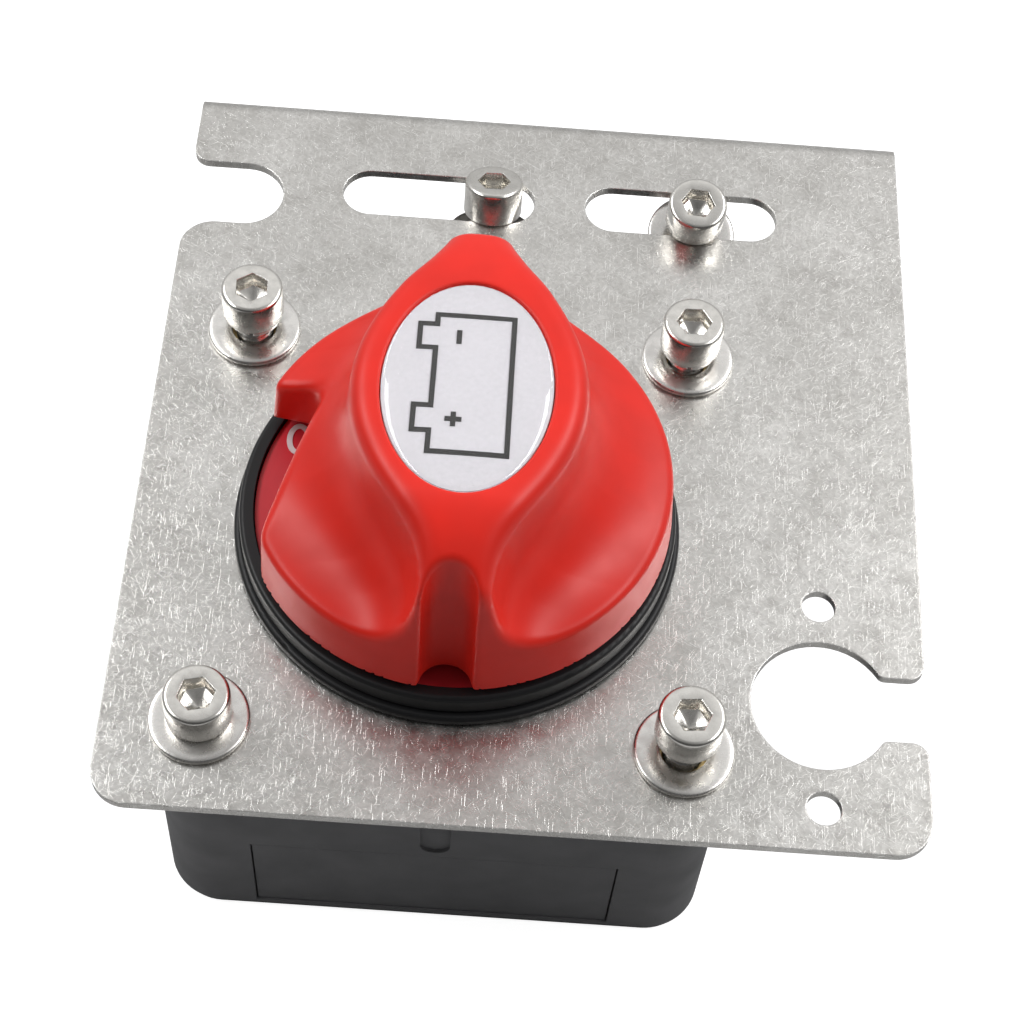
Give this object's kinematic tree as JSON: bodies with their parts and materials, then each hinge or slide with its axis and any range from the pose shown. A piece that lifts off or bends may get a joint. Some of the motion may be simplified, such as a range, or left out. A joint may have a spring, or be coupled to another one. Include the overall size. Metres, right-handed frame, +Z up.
{
  "type": "battery switch",
  "caption": "Rotary battery isolator in a square black housing under a bent stainless bracket plate, with a red quarter-turn knob on top.",
  "frame": {"origin": "middle of the back cover's underside, on the knob's axis", "axes": "+Z up along the knob's axis, +Y towards the plate's bent edge, +X towards the plate's socket hole"},
  "size_m": [0.0979, 0.1092, 0.073],
  "materials": {
    "stainless_plate": "tumbled stainless sheet with fine random scratches",
    "stainless_fasteners": "turned stainless",
    "tinned_terminals": "tin plated",
    "red_plastic": "satin moulded",
    "black_plastic": "satin moulded",
    "rubber": "matte",
    "white_print": "printed",
    "label_white": "gloss",
    "black_print": "printed",
    "clear_resin": "clear gloss",
    "copper": "bare copper",
    "brass": "turned brass",
    "spring_steel": "drawn wire"
  },
  "bodies": {
    "housing": {"mounting_plate": "stainless_plate", "base_housing": "black_plastic", "back_cover": "black_plastic", "knockout_panel_front": "black_plastic", "knockout_panel_right": "black_plastic", "knockout_panel_rear": "black_plastic", "knockout_panel_left": "black_plastic", "threaded_inserts": "brass", "top_collar": "black_plastic", "collar_gasket": "rubber", "dial_disc": "red_plastic", "dial_marks": "white_print", "shaft_seal": "rubber", "terminal_stud_left": "tinned_terminals", "terminal_stud_right": "tinned_terminals", "terminal_washers": "tinned_terminals", "terminal_lock_washers": "tinned_terminals", "terminal_nuts": "tinned_terminals", "corner_screws": "stainless_fasteners", "corner_washers": "stainless_fasteners", "corner_lock_washers": "stainless_fasteners", "slot_screws": "stainless_fasteners", "slot_washers": "stainless_fasteners", "slot_nuts": "stainless_fasteners"},
    "rotor": {"rotor_shaft": "black_plastic", "knob": "red_plastic", "knob_screw": "stainless_fasteners", "label_plate": "label_white", "label_print": "black_print", "label_dome": "clear_resin", "contact_spring": "spring_steel"},
    "bridge": {"contact_bridge": "copper"}
  },
  "joints": [
    {"name": "knob_turn", "type": "hinge", "parent": "housing", "child": "rotor", "pos_m": [0, 0, 0.045], "axis": [0, 0, 1], "range_deg": [-90, 0]},
    {"name": "bridge_drop", "type": "slide", "parent": "rotor", "child": "bridge", "axis": [0, 0, 1], "range_m": [-0.001, 0], "deforming": ["contact_spring"]}
  ],
  "couplings": [
    {"joint": "bridge_drop", "follows": "knob_turn", "m_per_rad": 0.000636}
  ]
}
